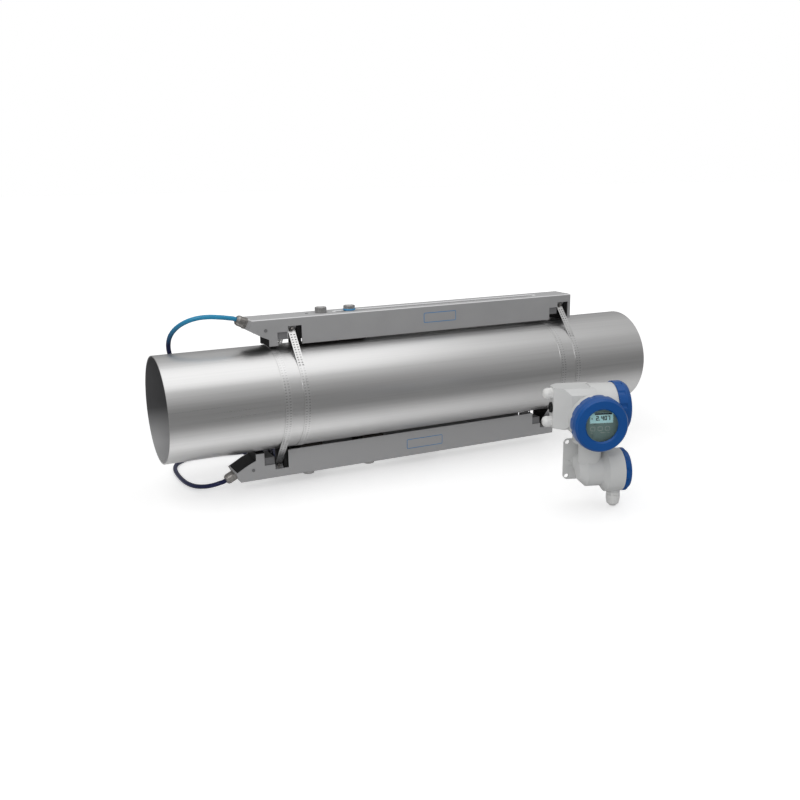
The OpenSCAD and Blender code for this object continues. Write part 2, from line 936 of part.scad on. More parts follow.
// Frame on the display's axis, Z towards the front
module at_display() {
    at_converter() translate([display_x, 0, display_axis_z]) rotate([90, 0, 0]) children();
}

// Frame on the terminal compartment's axis at its face, Z to the right
module at_terminal() {
    at_converter() translate([-right_face, 0, conv_axis_z]) along_x() children();
}

// Frame on the sensor box's axis at its face, Z to the right
module at_sensor() {
    at_converter() translate([collar_right, 0, low_axis_z]) along_x() children();
}

module main_housing() {
    color("gainsboro")
        at_converter()
            difference() {
                union() {
                    translate([display_x, 0, display_axis_z])
                        rotate([90, 0, 0])
                            translate([0, 0, -housing_back])
                                cylinder(r = drum_r, h = drum_front + housing_back);
                    translate([display_x, 0, conv_axis_z])
                        along_x() cylinder(r = drum_r, h = -display_x - right_face);
                    housing_box();
                    translate([neck_x, 0, neck_top + seat])
                        cylinder(r = neck_flange_r, h = neck_pad);
                }
                // Compartment behind the display
                translate([display_x, 0, display_axis_z])
                    rotate([90, 0, 0])
                        translate([0, 0, -bore_back])
                            cylinder(r = bore_r, h = drum_front + bore_back + cut);
                // Terminal compartment
                translate([display_x, 0, conv_axis_z])
                    along_x() cylinder(r = bore_r, h = -display_x - right_face + cut);
                // Wiring room in the box on the left
                translate([0, 0, box_low + casting_wall])
                    linear_extrude(box_high - box_low - 2 * casting_wall)
                        box_plan(casting_wall, room_face, room_slope, box_half - 2 * casting_wall);
                // Cable entries
                for (z = concat(entry_z, [plug_z])) {
                    translate([-box_left - cut, 0, z]) bar_x(entry_d, 2 * casting_wall);
                }
                translate([neck_x, 0, neck_top]) cylinder(r = wire_r, h = 3 * neck_pad);
            }
}

// Plan of the box: a narrow left face and two slopes to its full width
module box_plan(inset, face_half, slope, half) {
    polygon([
        [-box_left + inset, -face_half], [-box_left + slope, -half], [-box_right, -half],
        [-box_right, half], [-box_left + slope, half], [-box_left + inset, face_half]
    ]);
}

// The box on the left of the main housing, with chamfered edges
module housing_box() {
    c = box_chamfer;
    high = box_high - box_low;
    intersection() {
        translate([-box_left, 0, box_low])
            rotate([90, 0, 90])
                linear_extrude(box_left - box_right)
                    polygon([
                        [-box_half + c, 0], [box_half - c, 0], [box_half, c],
                        [box_half, high - c], [box_half - c, high],
                        [-box_half + c, high], [-box_half, high - c], [-box_half, c]
                    ]);
        translate([0, 0, box_low])
            linear_extrude(high)
                box_plan(0, box_face_half, box_slope, box_half);
    }
}

// A screwed cover on Z: rim with grips, stepped face and a spigot into the housing
module screw_cover(r, t, spigot_r, grips, band) {
    difference() {
        rotate_extrude($fn = 96)
            polygon([
                [0, play], [r - cut, play], [r, play + cut], [r, band],
                [r - cover_round / 3, t - cover_round],
                [r - cover_round, t], [0, t]
            ]);
        for (i = [0 : grips - 1]) {
            rotate([0, 0, (i + 0.5) * 360 / grips])
                translate([r + grip_r - grip_depth, 0, -cut])
                    cylinder(r = grip_r, h = band - cut, $fn = 32);
        }
        translate([0, 0, -cut])
            cylinder(r = spigot_r - cover_skirt_t, h = t - cover_face_t + cut);
    }
    difference() {
        translate([0, 0, -spigot_len]) cylinder(r = spigot_r, h = spigot_len + cut);
        translate([0, 0, -spigot_len - cut])
            cylinder(r = spigot_r - cover_skirt_t, h = spigot_len + 3 * cut);
    }
}

module display_cover() {
    color("royalblue")
        at_display()
            translate([0, 0, drum_front])
                difference() {
                    screw_cover(
                        display_cover_r, display_cover_t, bore_r - run_play, grip_count, cover_band
                    );
                    // Window with its bevel, and the seat of the glass behind it
                    translate([0, 0, display_cover_t - cover_face_t - cut])
                        cylinder(r = window_r, h = cover_face_t + 2 * cut);
                    translate([0, 0, display_cover_t - cover_face_t - cut])
                        cylinder(r = glass_r + seat, h = glass_t - glass_in + cut + seat);
                    translate([0, 0, display_cover_t - cover_face_t / 2])
                        rotate_extrude($fn = 96)
                            polygon([
                                [0, 0], [window_r, 0],
                                [window_r + bevel_depth / 2, cover_face_t / 2 + cut],
                                [0, cover_face_t / 2 + cut]
                            ]);
                }
}

module window_glass() {
    color("lightblue")
        at_display()
            translate([0, 0, drum_front + display_cover_t - cover_face_t - glass_in])
                cylinder(r = glass_r, h = glass_t);
}

module display_module() {
    front = drum_front + display_cover_t - cover_face_t - glass_in - module_behind;
    color("darkseagreen")
        at_display()
            difference() {
                union() {
                    translate([0, 0, front - module_t]) cylinder(r = module_r, h = module_t);
                    for (dx = [-1, 1], dy = [0, 1]) {
                        translate([dx * key_pitch, -key_drop - dy * key_pitch / 2, front])
                            cylinder(d = key_d, h = key_t, $fn = 24);
                    }
                    for (a = [45, 135, 225, 315]) {
                        rotate([0, 0, a])
                            translate([post_ring, 0, board_top])
                                cylinder(d = post_d, h = front - board_top - module_t / 2, $fn = 24);
                    }
                }
                translate([lcd_x - lcd_w / 2 - seat, lcd_z - lcd_h / 2 - seat, front - lcd_t])
                    cube([lcd_w + 2 * seat, lcd_h + 2 * seat, 2 * lcd_t]);
            }
}

module lcd() {
    front = drum_front + display_cover_t - cover_face_t - glass_in - module_behind;
    color("lightcyan")
        at_display()
            translate([lcd_x - lcd_w / 2, lcd_z - lcd_h / 2, front - lcd_t])
                cube([lcd_w, lcd_h, lcd_t]);
}

module electronics_module() {
    low = -bore_back + seat;
    color("seagreen")
        at_display()
            for (i = [0 : board_count - 1]) {
                translate([0, 0, low + i * board_pitch + post_d]) cylinder(r = board_r, h = board_t);
                for (a = [45, 135, 225, 315]) {
                    rotate([0, 0, a])
                        translate([post_ring, 0, low + i * board_pitch])
                            cylinder(d = post_d, h = post_d + cut, $fn = 24);
                }
                for (a = [45, 135, 225, 315]) {
                    rotate([0, 0, a])
                        translate([post_ring, 0, low + i * board_pitch + post_d])
                            cylinder(d = post_d, h = board_pitch - post_d + cut, $fn = 24);
                }
            }
}

module terminal_cover() {
    color("royalblue")
        at_terminal()
            screw_cover(terminal_cover_r, terminal_cover_t, bore_r - run_play, grip_count, cover_band);
}

// A row of screw terminals on Z, notched between its poles
module terminal_row(wide, high, thick, teeth) {
    difference() {
        translate([-wide / 2, -high / 2, 0]) cube([wide, high, thick]);
        for (i = [0 : teeth - 1]) {
            translate([-wide / 2 + (i + 0.5) * wide / teeth - tooth_w / 2, -high / 2 - cut, thick / 2])
                cube([tooth_w, high / 2, thick]);
        }
    }
}

// Terminals on a round carrier that closes the compartment behind them
module terminal_block() {
    low = -spigot_len - 2 * play - seal_t - carrier_t;
    color("darkgreen")
        at_terminal()
            rotate([0, 0, 90])
                translate([0, 0, low]) {
                    cylinder(r = bore_r - seat, h = carrier_t);
                    translate([0, 0, carrier_t]) terminal_row(block_w, block_h, block_t, block_teeth);
                }
}

module sensor_box() {
    color("gainsboro")
        at_converter()
            difference() {
                union() {
                    translate([0, 0, low_axis_z])
                        along_x()
                            rotate_extrude($fn = 96)
                                polygon([
                                    [0, -low_left], [low_tip_r, -low_left], [low_r, -low_cone],
                                    [low_r, -low_right], [collar_r, -collar_left],
                                    [collar_r, collar_right], [0, collar_right]
                                ]);
                    translate([neck_x, 0, low_axis_z]) cylinder(r = neck_r, h = neck_top - low_axis_z);
                    translate([neck_x, 0, neck_top - neck_flange_t])
                        cylinder(r = neck_flange_r, h = neck_flange_t);
                    // Boss of the lower entry, flat towards the cover
                    difference() {
                        translate([gland_x, 0, low_boss_z])
                            cylinder(r = low_boss_r, h = low_axis_z - low_boss_z);
                        translate([collar_right - low_boss_back, -low_boss_r, low_boss_z - cut])
                            cube([2 * low_boss_r, 2 * low_boss_r, low_axis_z - low_boss_z + 2 * cut]);
                    }
                    translate([neck_x, rear_boss_y, bracket_z - bracket_pad_t])
                        rotate([90, 0, 0]) cylinder(r = rear_boss_r, h = rear_boss_y);
                }
                translate([-low_bore_left, 0, low_axis_z])
                    bar_x(2 * (low_r - low_wall), low_bore_left);
                translate([-collar_left + cut, 0, low_axis_z])
                    bar_x(2 * (collar_r - low_wall), collar_left + collar_right);
                translate([neck_x, 0, low_axis_z]) cylinder(r = wire_r, h = neck_top);
                translate([gland_x, 0, low_boss_z - cut])
                    cylinder(d = low_entry_d, h = low_axis_z - low_boss_z);
                for (side = [-1, 1]) {
                    translate([
                        neck_x + side * bracket_screw_pitch / 2, rear_boss_y + cut,
                        bracket_z - bracket_pad_t
                    ])
                        rotate([90, 0, 0])
                            cylinder(
                                d = bracket_screw_d + 2 * seat,
                                h = bracket_screw_in + 2 * cut,
                                $fn = 24
                            );
                }
            }
}

module sensor_cover() {
    color("royalblue")
        at_sensor()
            screw_cover(
                sensor_cover_r, sensor_cover_t, collar_r - low_wall - run_play, grip_count, sensor_band
            );
}

module sensor_terminals() {
    color("black")
        at_sensor()
            rotate([0, 0, 90])
                translate([0, 0, cut - collar_left - collar_right]) {
                    cylinder(r = collar_r - low_wall - seat, h = carrier_t);
                    translate([0, 0, carrier_t]) terminal_row(block_w, block_h, block_t, block_teeth);
                }
}

module wall_bracket() {
    back = rear_boss_y + bracket_pad_t + plate_t;
    color("lightgray")
        at_converter()
            difference() {
                union() {
                    translate([bracket_x, back, bracket_z])
                        rotate([90, 0, 0])
                            rounded_plate(plate_side, plate_round, plate_t);
                    translate([neck_x, back - plate_t / 2, bracket_z - bracket_pad_t])
                        rotate([90, 0, 0])
                            cylinder(r = bracket_pad_r, h = bracket_pad_t + plate_t / 2);
                    translate([
                        bracket_x - plate_side / 2 + plate_round,
                        back - plate_t - rib_t / 2,
                        bracket_z - bracket_pad_t - rib_t / 2
                    ])
                        cube([plate_side / 2, rib_t / 2 + cut, rib_t]);
                }
                for (sx = [-1, 1], sz = [-1, 1]) {
                    translate([
                        bracket_x + sx * plate_pitch / 2, back + cut,
                        bracket_z + sz * plate_pitch / 2
                    ])
                        rotate([90, 0, 0]) cylinder(d = plate_hole_d, h = plate_t + 2 * cut);
                }
                for (side = [-1, 1]) {
                    translate([
                        neck_x + side * bracket_screw_pitch / 2, back + cut,
                        bracket_z - bracket_pad_t
                    ])
                        rotate([90, 0, 0]) {
                            cylinder(d = bracket_screw_d + 2 * seat, h = back, $fn = 24);
                            cylinder(d = bracket_head_d + 2 * seat, h = bracket_head_t + cut, $fn = 32);
                        }
                }
            }
}

module rounded_plate(side, r, t) {
    half = side / 2 - r;
    translate([-side / 2, -half, 0]) cube([side, 2 * half, t]);
    translate([-half, -side / 2, 0]) cube([2 * half, side, t]);
    for (sx = [-1, 1], sy = [-1, 1]) {
        translate([sx * half, sy * half, 0]) cylinder(r = r, h = t, $fn = 32);
    }
}

// Frame at a cable entry on the left of the box, Z out of it
module at_entry(z) {
    at_converter() translate([-box_left, 0, z]) rotate([0, -90, 0]) children();
}

// Frame at the entry under the sensor box, Z downwards
module at_bottom_entry() {
    at_converter() translate([gland_x, 0, low_boss_z]) rotate([180, 0, 0]) children();
}

module gland_body(hex_d, hex_t, neck_d, neck_t, stub_d) {
    cylinder(d = hex_d, h = hex_t, $fn = hex_sides);
    cylinder(d = neck_d, h = hex_t + neck_t);
    translate([0, 0, -casting_wall / 2]) cylinder(d = stub_d, h = casting_wall);
}

module gland_bodies() {
    color("whitesmoke") {
        for (z = entry_z) {
            at_entry(z)
                gland_body(entry_hex_d, entry_hex_t, entry_neck_d, entry_neck_t, entry_d - 2 * seat);
        }
        at_bottom_entry()
            gland_body(bottom_hex_d, bottom_hex_t, bottom_neck_d, bottom_neck_t,
                low_entry_d - 2 * seat);
    }
}

// A gland's cap nut over its neck, closed by a plug while no cable is in it
module cap_nut(d, high, dome, tip_d, neck_d, neck_t) {
    difference() {
        dome_nut(d, high, dome, tip_d, stem_d / 2, 8);
        translate([0, 0, -cut]) cylinder(d = neck_d + 2 * run_play, h = neck_t + play + cut);
    }
}

module entry_nut(z) {
    color("whitesmoke")
        at_entry(z)
            translate([0, 0, entry_hex_t + play])
                cap_nut(entry_nut_d, entry_nut_t, entry_dome, entry_tip_d, entry_neck_d, entry_neck_t);
}

module bottom_gland_nut() {
    color("whitesmoke")
        at_bottom_entry()
            translate([0, 0, bottom_hex_t + play])
                cap_nut(bottom_nut_d, bottom_nut_t, bottom_dome, bottom_tip_d, bottom_neck_d, bottom_neck_t);
}

module blind_plug() {
    color("dimgray")
        at_entry(plug_z)
            difference() {
                union() {
                    cylinder(d = blind_d, h = blind_t);
                    translate([0, 0, -casting_wall / 2]) cylinder(d = entry_d - 2 * seat, h = casting_wall);
                }
                translate([0, 0, blind_t - blind_key_t])
                    cylinder(d = blind_key_d, h = blind_key_t + cut, $fn = hex_sides);
            }
}

// A flat ring on Z
module ring_seal(r) {
    difference() {
        cylinder(r = r + seal_w / 2, h = seal_t);
        translate([0, 0, -cut]) cylinder(r = r - seal_w / 2, h = seal_t + 2 * cut);
    }
}

module cover_seals() {
    color("black") {
        at_display() translate([0, 0, drum_front - seal_t - spigot_len - play]) ring_seal(bore_r - seal_w);
        at_terminal() translate([0, 0, -seal_t - spigot_len - play]) ring_seal(bore_r - seal_w);
        at_sensor() translate([0, 0, -seal_t - spigot_len - play]) ring_seal(collar_r - low_wall - seal_w);
    }
}

module housing_screws() {
    back = rear_boss_y + bracket_pad_t + plate_t;
    color("silver") {
        at_converter()
            for (side = [-1, 1]) {
                translate([
                    neck_x + side * bracket_screw_pitch / 2, back,
                    bracket_z - bracket_pad_t
                ])
                    rotate([90, 0, 0]) {
                        cylinder(
                            d = bracket_screw_d,
                            h = plate_t + bracket_pad_t + bracket_screw_in,
                            $fn = 24
                        );
                        cylinder(d = bracket_head_d, h = bracket_head_t, $fn = hex_sides);
                    }
            }
    }
}

// One module for each piece

module upper_rail() { color("darkgray") at_upper_rail() rail_shell(); }
module lower_rail() { color("darkgray") at_lower_rail() rail_shell(); }
module upper_end_cap() { color("gray") at_upper_rail() rail_end_cap(); }
module lower_end_cap() { color("gray") at_lower_rail() rail_end_cap(); }
module upper_nose_cover() { color("black") at_upper_rail() rail_nose_cover(); }
module lower_nose_cover() { color("black") at_lower_rail() rail_nose_cover(); }
module upper_saddles() { color("black") at_upper_rail() rail_saddles(); }
module lower_saddles() { color("black") at_lower_rail() rail_saddles(); }
module upper_clamp_blocks() { color("dimgray") at_upper_rail() rail_clamp_blocks(); }
module lower_clamp_blocks() { color("dimgray") at_lower_rail() rail_clamp_blocks(); }
module upper_straps() { color("silver") at_upper_rail() rail_straps(); }
module lower_straps() { color("silver") at_lower_rail() rail_straps(); }
module upper_strap_screw_left() { color("silver") at_upper_rail() strap_screw(strap_x); }
module upper_strap_screw_right() { color("silver") at_upper_rail() strap_screw(strap_x + station_pitch); }
module lower_strap_screw_left() { color("silver") at_lower_rail() strap_screw(strap_x); }
module lower_strap_screw_right() { color("silver") at_lower_rail() strap_screw(strap_x + station_pitch); }
module upper_fixed_holder() { color("dimgray") at_upper_rail() holder(knob_at[0], 0, 0); }
module lower_fixed_holder() { color("dimgray") at_lower_rail() holder(lower_knob_at[0], 0, 0); }
module upper_slide_holder() { color("dimgray") at_upper_rail() holder(knob_at[1], play, ledge_t); }
module lower_slide_holder() { color("dimgray") at_lower_rail() holder(lower_knob_at[1], play, ledge_t); }
module upper_fixed_transducer() { color("tan") at_upper_rail() transducer(knob_at[0]); }
module lower_fixed_transducer() { color("tan") at_lower_rail() transducer(lower_knob_at[0]); }
module upper_slide_transducer() { color("tan") at_upper_rail() transducer(knob_at[1]); }
module lower_slide_transducer() { color("tan") at_lower_rail() transducer(lower_knob_at[1]); }
module upper_fixed_knob() { color("silver") at_upper_rail() knob(knob_at[0], 0); }
module lower_fixed_knob() { color("silver") at_lower_rail() knob(lower_knob_at[0], 0); }
module upper_slide_knob() { color("silver") at_upper_rail() knob(knob_at[1], ledge_t); }
module lower_slide_knob() { color("silver") at_lower_rail() knob(lower_knob_at[1], ledge_t); }
module upper_gland_body() { color("silver") at_upper_rail() nose_gland_body(); }
module lower_gland_body() { color("silver") at_lower_rail() nose_gland_body(); }
module upper_gland_nut() { color("silver") at_upper_rail() nose_gland_nut(); }
module lower_gland_nut() { color("silver") at_lower_rail() nose_gland_nut(); }
module upper_rail_screws() { color("silver") at_upper_rail() rail_screws(); }
module lower_rail_screws() { color("silver") at_lower_rail() rail_screws(); }
module upper_cable() { color("steelblue") tube(upper_run, cable_d / 2, tube_sides); }
module lower_cable() { color("navy") tube(lower_run, cable_d / 2, tube_sides); }
module upper_cable_coil() { color("steelblue") tube(coil_path(upper_coil), cable_d / 2, coil_sides); }
module lower_cable_coil() { color("navy") tube(coil_path(lower_coil), cable_d / 2, coil_sides); }
module upper_cable_plug() { color("silver") cable_plug(upper_coil); }
module lower_cable_plug() { color("silver") cable_plug(lower_coil); }
module top_gland_nut() { entry_nut(entry_z[0]); }
module side_gland_nut() { entry_nut(entry_z[1]); }

echo(
    upper_cable_length = run_length(upper_run) + run_length(coil_path(upper_coil)),
    lower_cable_length = run_length(lower_run) + run_length(coil_path(lower_coil)),
    coil_gap = coil_gap(coil_path(upper_coil))
);

pipe();
upper_rail();
upper_end_cap();
upper_nose_cover();
upper_saddles();
upper_clamp_blocks();
upper_straps();
upper_strap_screw_left();
upper_strap_screw_right();
upper_fixed_holder();
upper_fixed_transducer();
upper_fixed_knob();
upper_slide_holder();
upper_slide_transducer();
upper_slide_knob();
upper_gland_body();
upper_gland_nut();
upper_cable();
upper_cable_coil();
upper_cable_plug();
upper_rail_screws();
lower_rail();
lower_end_cap();
lower_nose_cover();
lower_saddles();
lower_clamp_blocks();
lower_straps();
lower_strap_screw_left();
lower_strap_screw_right();
lower_fixed_holder();
lower_fixed_transducer();
lower_fixed_knob();
lower_slide_holder();
lower_slide_transducer();
lower_slide_knob();
lower_gland_body();
lower_gland_nut();
lower_cable();
lower_cable_coil();
lower_cable_plug();
lower_rail_screws();
main_housing();
display_cover();
window_glass();
display_module();
lcd();
terminal_cover();
electronics_module();
terminal_block();
sensor_box();
sensor_cover();
sensor_terminals();
wall_bracket();
gland_bodies();
top_gland_nut();
side_gland_nut();
bottom_gland_nut();
blind_plug();
cover_seals();
housing_screws();
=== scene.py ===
# A clamp-on flow meter: a pipe run with two sensor rails, and its field converter in front

import bpy
import bmesh
import math
from mathutils import Matrix, Vector


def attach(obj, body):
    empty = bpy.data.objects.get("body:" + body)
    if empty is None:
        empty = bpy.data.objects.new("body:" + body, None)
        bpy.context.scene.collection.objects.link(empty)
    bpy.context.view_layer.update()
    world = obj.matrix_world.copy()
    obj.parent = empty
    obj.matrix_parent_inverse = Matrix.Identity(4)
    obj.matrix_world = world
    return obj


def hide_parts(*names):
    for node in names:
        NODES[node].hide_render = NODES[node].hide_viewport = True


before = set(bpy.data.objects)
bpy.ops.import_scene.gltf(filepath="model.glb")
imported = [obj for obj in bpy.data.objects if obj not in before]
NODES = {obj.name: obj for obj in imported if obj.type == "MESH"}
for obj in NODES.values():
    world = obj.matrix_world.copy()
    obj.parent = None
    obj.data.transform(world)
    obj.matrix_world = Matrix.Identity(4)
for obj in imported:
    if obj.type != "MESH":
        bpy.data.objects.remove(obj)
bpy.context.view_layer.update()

# Lengths are in metres, and in millimetres where MM turns them into metres
MM = 0.001
FLOOR_MM = -192.0
FLOOR_Z = FLOOR_MM * MM
PIPE_R = 0.10955
PIPE_WALL = 0.0026
ROOT = "pipe_run"

# Camera, as fitted to the photograph
RIGHT = Vector((0.896198, -0.443488, -0.012154))
UP = Vector((0.118645, 0.213179, 0.969782))
FORWARD = Vector((0.427496, 0.870559, -0.243669))
EYE = Vector((-0.911167, -1.787204, 0.455425))
SENSOR_MM = 36.0
LENS_MM = 40.848


def make_camera():
    data = bpy.data.cameras.new("camera")
    data.sensor_width = SENSOR_MM
    data.lens = LENS_MM
    data.clip_start = 0.05
    data.clip_end = 60.0
    cam = bpy.data.objects.new("camera", data)
    axes = Matrix((RIGHT, UP, -FORWARD)).transposed()
    cam.matrix_world = Matrix.Translation(EYE) @ axes.to_4x4()
    bpy.context.scene.collection.objects.link(cam)
    bpy.context.scene.camera = cam


make_camera()


# Shader helpers
def new_material(name):
    m = bpy.data.materials.new(name)
    m.use_nodes = True
    tree = m.node_tree
    return m, tree, tree.nodes["Principled BSDF"]


def put(tree, kind, **settings):
    n = tree.nodes.new(kind)
    for key, value in settings.items():
        setattr(n, key, value)
    return n


def feed(tree, value, socket):
    # Gives a socket a colour, a number or the output of another node
    if isinstance(value, tuple):
        socket.default_value = (*value, 1.0)
    elif isinstance(value, (int, float)):
        socket.default_value = value
    else:
        tree.links.new(value, socket)


def math_node(tree, operation, a, b=None):
    n = put(tree, "ShaderNodeMath", operation=operation)
    feed(tree, a, n.inputs[0])
    if b is not None:
        feed(tree, b, n.inputs[1])
    return n.outputs[0]


def product(tree, first, *others):
    result = first
    for other in others:
        result = math_node(tree, "MULTIPLY", result, other)
    return result


def difference(tree, a, b):
    return math_node(tree, "SUBTRACT", a, b)


def size_of(tree, value):
    return math_node(tree, "ABSOLUTE", value)


def less(tree, value, limit):
    return math_node(tree, "LESS_THAN", value, limit)


def hypotenuse(tree, a, b):
    squares = math_node(tree, "ADD", product(tree, a, a), product(tree, b, b))
    return math_node(tree, "SQRT", squares)


def place(tree, stretch=(1, 1, 1)):
    coord = put(tree, "ShaderNodeTexCoord")
    mapping = put(tree, "ShaderNodeMapping")
    mapping.inputs["Scale"].default_value = stretch
    tree.links.new(coord.outputs["Object"], mapping.inputs["Vector"])
    return mapping.outputs["Vector"]


def apart(tree, vector):
    # The x, y and z of a vector
    parts = put(tree, "ShaderNodeSeparateXYZ")
    tree.links.new(vector, parts.inputs[0])
    return parts.outputs


def noise(tree, scale, stretch=(1, 1, 1), detail=3.0, rough=0.55):
    n = put(tree, "ShaderNodeTexNoise")
    n.inputs["Scale"].default_value = scale
    n.inputs["Detail"].default_value = detail
    n.inputs["Roughness"].default_value = rough
    tree.links.new(place(tree, stretch), n.inputs["Vector"])
    return n.outputs["Fac"]


def spread(tree, value, low, high, at_low=0.3, at_high=0.7):
    # Runs from low to high while the value runs from at_low to at_high
    n = put(tree, "ShaderNodeMapRange")
    n.inputs["From Min"].default_value = at_low
    n.inputs["From Max"].default_value = at_high
    n.inputs["To Min"].default_value = low
    n.inputs["To Max"].default_value = high
    tree.links.new(value, n.inputs["Value"])
    return n.outputs["Result"]


def mix_colour(tree, factor, a, b):
    n = put(tree, "ShaderNodeMix", data_type="RGBA")
    feed(tree, factor, n.inputs[0])
    feed(tree, a, n.inputs[6])
    feed(tree, b, n.inputs[7])
    return n.outputs[2]


def bump(tree, bsdf, height, strength, distance):
    n = put(tree, "ShaderNodeBump")
    n.inputs["Strength"].default_value = strength
    n.inputs["Distance"].default_value = distance
    tree.links.new(height, n.inputs["Height"])
    tree.links.new(n.outputs["Normal"], bsdf.inputs["Normal"])


def grey(value):
    return (value, value, value)


def shades(colour, by):
    # A slightly darker and a slightly lighter shade of one colour
    return tuple(c * (1 - by) for c in colour), tuple(min(1.0, c * (1 + by)) for c in colour)


# Materials
def skin(name, colour, rough, grain, vary, clouds, peel, depth, shine=0.5, coat=0.0):
    # A painted or moulded surface: soft clouds in its colour and a fine grain in its gloss
    m, tree, bsdf = new_material(name)
    darker, lighter = shades(colour, vary)
    cloud = spread(tree, noise(tree, clouds), 0, 1)
    feed(tree, mix_colour(tree, cloud, darker, lighter), bsdf.inputs["Base Color"])
    fine = noise(tree, grain, detail=2.0)
    feed(tree, spread(tree, fine, rough - 0.06, rough + 0.08), bsdf.inputs["Roughness"])
    bsdf.inputs["Specular IOR Level"].default_value = shine
    bsdf.inputs["Coat Weight"].default_value = coat
    bsdf.inputs["Coat Roughness"].default_value = 0.18
    bump(tree, bsdf, fine, peel, depth)
    return m


def coated_metal(name, colour, rough, grain=900.0, vary=0.05, peel=0.04, **more):
    return skin(name, colour, rough, grain, vary, clouds=14.0, peel=peel, depth=0.0004, **more)


def plastic(name, colour, rough, **more):
    return skin(name, colour, rough, grain=1500.0, vary=0.06, clouds=40.0, peel=0.06, depth=0.0002, **more)


def turned_metal(name, colour, rough):
    m, tree, bsdf = new_material(name)
    darker, lighter = shades(colour, 0.08)
    lines = noise(tree, 1.0, (60, 60, 900), detail=4.0)
    tone = mix_colour(tree, spread(tree, lines, 0, 1), darker, lighter)
    feed(tree, tone, bsdf.inputs["Base Color"])
    bsdf.inputs["Metallic"].default_value = 1.0
    feed(tree, spread(tree, lines, rough - 0.05, rough + 0.1), bsdf.inputs["Roughness"])
    bump(tree, bsdf, lines, 0.08, 0.0003)
    return m


def pipe_material():
    m, tree, bsdf = new_material("pipe_brushed")
    _, y, z = apart(tree, place(tree))

    # Fine lines along the pipe, over broader drifts of tone
    streak = noise(tree, 1.0, (1.6, 230, 230), detail=6.0, rough=0.6)
    drift = noise(tree, 1.0, (0.9, 22, 22))
    both = math_node(tree, "ADD", product(tree, streak, 0.45), product(tree, drift, 0.55))
    tone = spread(tree, both, 0, 1, 0.35, 0.65)
    outside = mix_colour(tree, tone, (0.615, 0.612, 0.61), (0.70, 0.697, 0.695))

    # The bore's two tones are painted light and shade: darker above, and lighter at the bottom where light
    # falls in at the open end; they match the photograph's brightness
    bore_r = PIPE_R - PIPE_WALL
    inside = less(tree, hypotenuse(tree, y, z), bore_r + 0.00035)
    painted_light_at_bottom = spread(tree, z, 1, 0, -0.085, -0.02)
    bore = mix_colour(tree, painted_light_at_bottom, (0.13, 0.13, 0.134), (0.58, 0.58, 0.585))
    feed(tree, mix_colour(tree, inside, outside, bore), bsdf.inputs["Base Color"])
    feed(tree, difference(tree, 1.0, product(tree, inside, 0.5)), bsdf.inputs["Metallic"])
    rough = spread(tree, both, 0.27, 0.40, 0.35, 0.65)
    duller = math_node(tree, "ADD", rough, product(tree, inside, 0.2))
    feed(tree, duller, bsdf.inputs["Roughness"])
    bump(tree, bsdf, streak, 0.03, 0.0003)
    return m


# The middles of the two straps of each rail along the pipe, and the slots in their round parts:
# two rows beside the strap's middle line, one slot in each pitch round the pipe
STRAP_X = {"upper": (-0.294, 0.379), "lower": (-0.335, 0.338)}
STRAP_TOP_R = PIPE_R + 0.00165
ROW_OFF = 0.0036
SLOT_HALF = 0.0019
SLOT_PITCH = 6.0 / 110.0
SLOT_SHARE = 0.36


def strap_material(name, middles):
    m, tree, bsdf = new_material(name)
    x, y, z = apart(tree, place(tree))
    on_round = less(tree, hypotenuse(tree, y, z), STRAP_TOP_R)
    off = [size_of(tree, difference(tree, x, middle)) for middle in middles]
    across = math_node(tree, "MINIMUM", off[0], off[1])
    in_row = less(tree, size_of(tree, difference(tree, across, ROW_OFF)), SLOT_HALF)
    pitches = product(tree, math_node(tree, "ARCTAN2", y, z), 1.0 / SLOT_PITCH)
    step = math_node(tree, "FRACT", math_node(tree, "ADD", pitches, 100.0))
    hole = product(tree, in_row, less(tree, step, SLOT_SHARE), on_round)

    # The slots are painted: dark marks that are painted shade in the real holes, painted fainter towards
    # the pipe's top and bottom where the light glances, to match the photograph
    lines = noise(tree, 1.0, (700, 30, 30))
    steel = mix_colour(tree, spread(tree, lines, 0, 1), (0.62, 0.617, 0.615), (0.74, 0.737, 0.735))
    painted_slot_shade_strength = spread(tree, size_of(tree, z), 0.85, 0.3, 0.03, 0.085)
    slotted = mix_colour(tree, product(tree, hole, painted_slot_shade_strength), steel, grey(0.40))

    # Painted shade: darker under the belly, where the strap lies in shadow, to match the photograph's
    # brightness there
    low = spread(tree, z, 1, 0, -0.118, -0.098)
    feed(tree, mix_colour(tree, low, slotted, (0.16, 0.16, 0.165)), bsdf.inputs["Base Color"])
    bsdf.inputs["Metallic"].default_value = 1.0
    feed(tree, spread(tree, lines, 0.27, 0.40), bsdf.inputs["Roughness"])
    bump(tree, bsdf, difference(tree, 1.0, hole), 0.15, 0.0003)
    return m


def cable_material():
    m, tree, bsdf = new_material("cable_sheath")
    _, _, z = apart(tree, place(tree))

    # Painted light and shade on a sheath of one colour: light blue high up where the light falls, navy low
    # down in the shade, to match the photograph
    height = spread(tree, z, 0, 1, 0.118, 0.176)
    blue = mix_colour(tree, height, (0.0035, 0.0055, 0.052), (0.022, 0.26, 0.46))
    scuff = product(tree, spread(tree, noise(tree, 60.0), 0, 1), 0.12)
    feed(tree, mix_colour(tree, scuff, blue, (0.02, 0.05, 0.16)), bsdf.inputs["Base Color"])
    bsdf.inputs["Specular IOR Level"].default_value = 0.35
    feed(tree, spread(tree, noise(tree, 500.0), 0.26, 0.38), bsdf.inputs["Roughness"])
    return m


def top_of(node):
    return max((node.matrix_world @ Vector(corner)).z for corner in node.bound_box)


